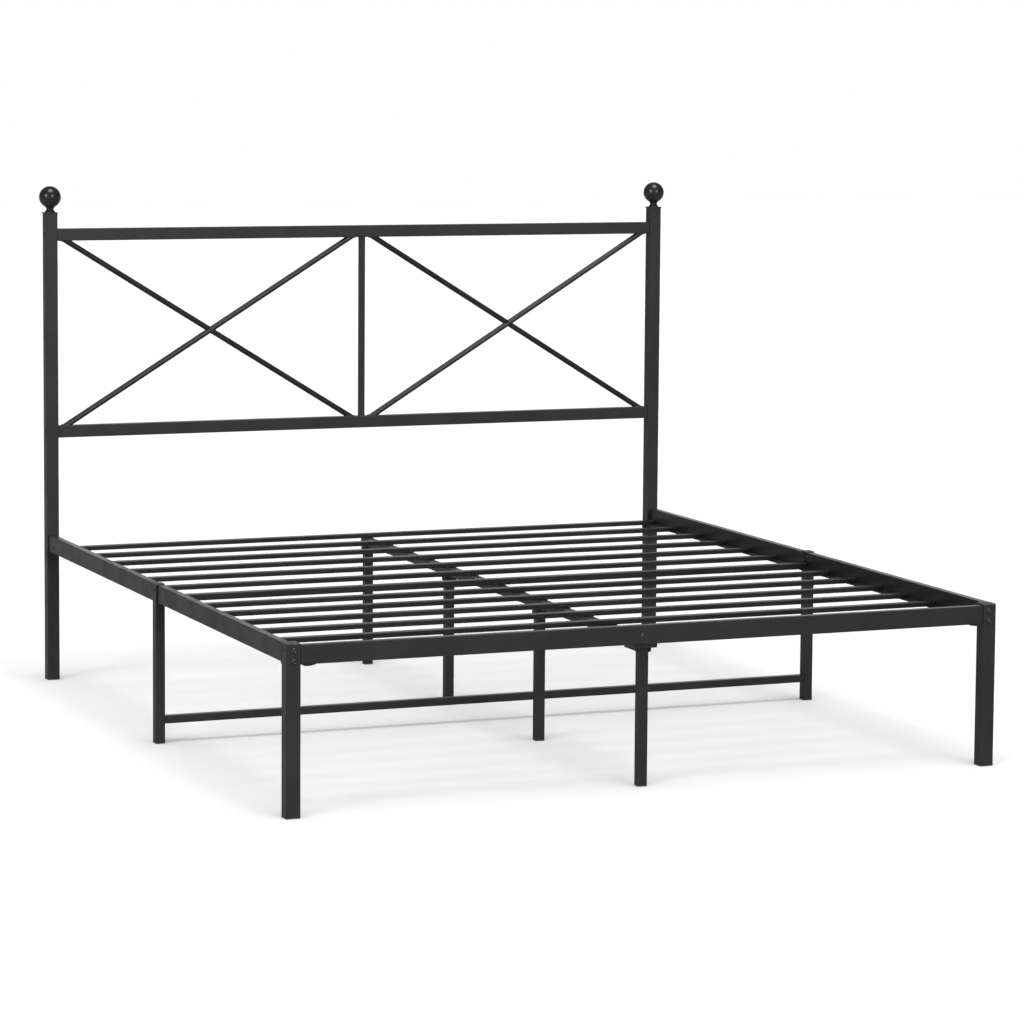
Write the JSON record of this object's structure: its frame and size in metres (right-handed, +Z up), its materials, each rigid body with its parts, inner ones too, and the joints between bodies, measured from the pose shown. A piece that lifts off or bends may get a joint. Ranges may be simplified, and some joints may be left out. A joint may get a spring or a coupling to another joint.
{
  "type": "metal bed frame",
  "caption": "Black metal bed frame: ball-topped headboard posts with crossed rods, two-part side rails on legs, a low foot rail, a centre rail and cross slats.",
  "frame": {"origin": "on the floor under the centre of the whole frame's bounding box", "axes": "+Z up, +Y along the bed from foot to head, +X to the right seen from the foot"},
  "size_m": [1.886, 2.0772, 1.373],
  "materials": {
    "frame_coat": "fine-textured satin black powder coat on steel tube",
    "slat_coat": "satin black powder coat on thin flat tube",
    "plastic": "matte black moulded plastic",
    "blackened_steel": "black-coated steel fasteners, a little shinier than the frame"
  },
  "bodies": {
    "root": {"head_post_left": "frame_coat", "head_post_right": "frame_coat", "post_caps": "frame_coat", "ball_finial_left": "frame_coat", "ball_finial_right": "frame_coat", "headboard_top_rail": "frame_coat", "headboard_lower_rail": "frame_coat", "headboard_centre_bar": "frame_coat", "rod_left_rising": "frame_coat", "rod_left_falling_outer": "frame_coat", "rod_left_falling_inner": "frame_coat", "rod_right_rising": "frame_coat", "rod_right_falling_outer": "frame_coat", "rod_right_falling_inner": "frame_coat", "side_rail_left_head": "frame_coat", "side_rail_left_foot": "frame_coat", "side_rail_right_head": "frame_coat", "side_rail_right_foot": "frame_coat", "head_sleeves": "frame_coat", "middle_sleeves": "frame_coat", "foot_sleeves": "frame_coat", "rail_end_plates": "frame_coat", "foot_rail": "frame_coat", "foot_rail_lugs": "frame_coat", "foot_leg_left": "frame_coat", "foot_leg_right": "frame_coat", "middle_leg_left": "frame_coat", "middle_leg_right": "frame_coat", "middle_joint_plates": "frame_coat", "cross_tie": "frame_coat", "centre_rail_head": "frame_coat", "centre_rail_foot": "frame_coat", "centre_rail_joiner": "frame_coat", "foot_angle_bracket": "frame_coat", "centre_leg_1": "frame_coat", "centre_leg_2": "frame_coat", "centre_leg_3": "frame_coat", "centre_leg_4": "frame_coat", "centre_leg_brackets": "frame_coat", "slat_01": "slat_coat", "slat_02": "slat_coat", "slat_03": "slat_coat", "slat_04": "slat_coat", "slat_05": "slat_coat", "slat_06": "slat_coat", "slat_07": "slat_coat", "slat_08": "slat_coat", "slat_09": "slat_coat", "slat_10": "slat_coat", "slat_11": "slat_coat", "slat_12": "slat_coat", "slat_13": "slat_coat", "foot_leg_caps": "plastic", "middle_leg_caps": "plastic", "leg_glides": "plastic", "slat_clips": "blackened_steel", "headboard_bolts": "blackened_steel", "foot_bolts": "blackened_steel", "rail_screws": "blackened_steel", "centre_leg_bolts": "blackened_steel"}
  },
  "joints": []
}
